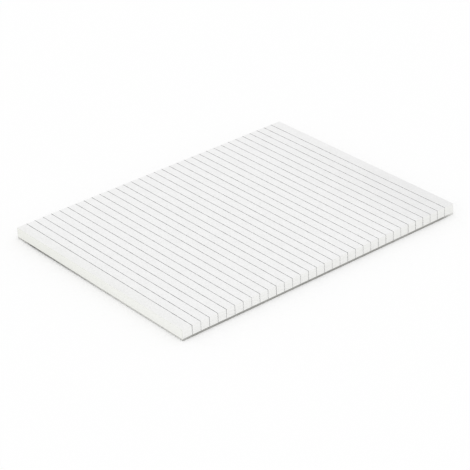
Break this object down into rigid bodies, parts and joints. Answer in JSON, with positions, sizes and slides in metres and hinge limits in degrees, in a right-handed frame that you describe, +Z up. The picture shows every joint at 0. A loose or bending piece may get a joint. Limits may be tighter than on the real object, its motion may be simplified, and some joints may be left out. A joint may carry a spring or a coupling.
{
  "type": "notepad",
  "caption": "Ruled letter-size notepad of loose white sheets, glued along the head edge and backed with grey chipboard; written on and torn off sheet by sheet.",
  "frame": {"origin": "middle of the pad's footprint, on the underside of the backing board", "axes": "X across the page, +Y from the glued head edge to the free foot edge, +Z up out of the page"},
  "size_m": [0.216, 0.2798, 0.0098],
  "materials": {
    "paper": "uncoated bond paper, matt",
    "ink": "printed grey line on matt paper",
    "chipboard": "unbleached grey chipboard, matt",
    "glue": "dried white padding glue, satin"
  },
  "bodies": {
    "root": {"page_block": "paper", "ruling": "ink", "backing_board": "chipboard", "head_glue": "glue"}
  },
  "joints": []
}
